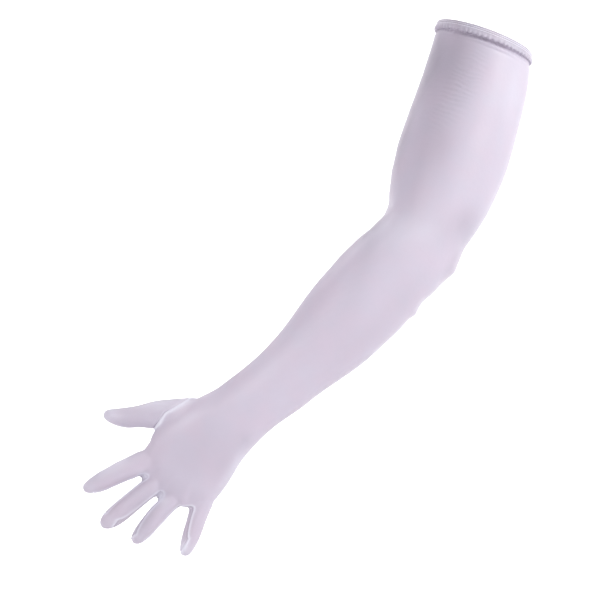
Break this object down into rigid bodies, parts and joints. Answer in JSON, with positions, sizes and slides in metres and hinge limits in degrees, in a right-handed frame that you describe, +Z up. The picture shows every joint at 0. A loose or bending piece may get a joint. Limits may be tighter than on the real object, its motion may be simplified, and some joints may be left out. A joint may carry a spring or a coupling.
{
  "type": "long glove",
  "caption": "Long dress glove of stretch satin for the left hand, hollow from its hemmed arm opening to five closed finger stalls, in its worn form.",
  "frame": {"origin": "middle of the arm opening, in the plane of the hem's rim", "axes": "+Z up, from the fingertips towards the arm opening; the hand points down and towards -X; -Y faces the back of the hand and +Y the palm"},
  "size_m": [0.3981, 0.1398, 0.4749],
  "materials": {
    "satin": "pale lilac-white stretch satin with a soft sheen",
    "hem_satin": "the same satin, turned over and stitched",
    "strip_satin": "the same satin, cut as narrow strips and a little paler"
  },
  "bodies": {
    "root": {"rolled_hem": "hem_satin", "upper_sleeve": "satin", "lower_sleeve": "satin", "hand": "satin", "thumb": "satin", "index_finger": "satin", "middle_finger": "satin", "ring_finger": "satin", "little_finger": "satin", "fourchette_index_middle": "strip_satin", "fourchette_middle_ring": "strip_satin", "fourchette_ring_little": "strip_satin"}
  },
  "joints": []
}
